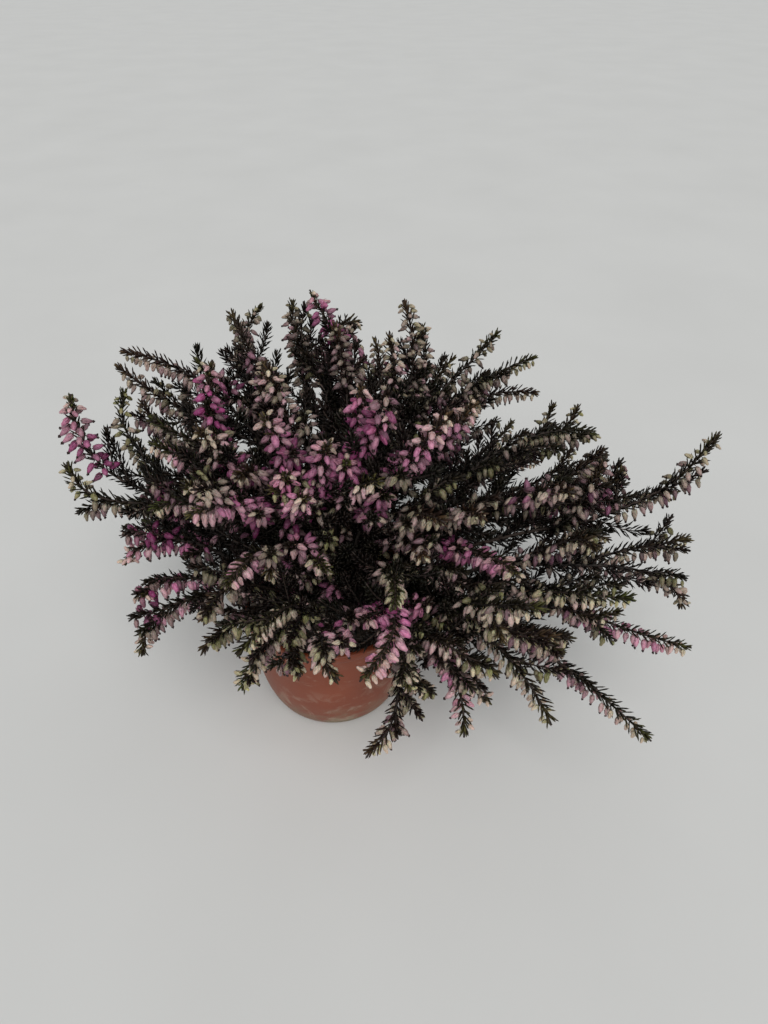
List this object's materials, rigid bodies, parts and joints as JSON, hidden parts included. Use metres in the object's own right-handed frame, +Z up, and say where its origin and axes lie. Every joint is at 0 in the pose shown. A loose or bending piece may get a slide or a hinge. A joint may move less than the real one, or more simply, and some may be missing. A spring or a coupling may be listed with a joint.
{
  "type": "potted darley dale heath",
  "caption": "Bushy winter heath in flower, its arching leafy shoots hung with pink and cream bells, in a round bowl-shaped terracotta-coloured pot.",
  "frame": {"origin": "middle of the pot's foot, on the surface that it stands on", "axes": "+Z up, -Y the front of the plant, +X its longer side"},
  "size_m": [0.3246, 0.2772, 0.2267],
  "materials": {
    "pot": "satin",
    "compost": "matte",
    "heath": "matte"
  },
  "bodies": {
    "root": {"pot": "pot", "compost": "compost", "stem_01": "heath", "stem_02": "heath", "stem_03": "heath", "stem_04": "heath", "stem_05": "heath", "stem_06": "heath", "stem_07": "heath", "stem_08": "heath", "stem_09": "heath", "stem_10": "heath", "stem_11": "heath", "stem_12": "heath", "stem_13": "heath", "stem_14": "heath", "stem_15": "heath", "stem_16": "heath", "stem_17": "heath", "stem_18": "heath", "stem_19": "heath", "stem_20": "heath", "stem_21": "heath", "stem_22": "heath", "stem_23": "heath", "stem_24": "heath", "stem_25": "heath", "stem_26": "heath", "stem_27": "heath", "stem_28": "heath", "stem_29": "heath", "stem_30": "heath", "stem_31": "heath", "stem_32": "heath", "stem_33": "heath", "stem_34": "heath", "stem_35": "heath", "stem_36": "heath", "stem_37": "heath", "stem_38": "heath", "stem_39": "heath"}
  },
  "joints": []
}
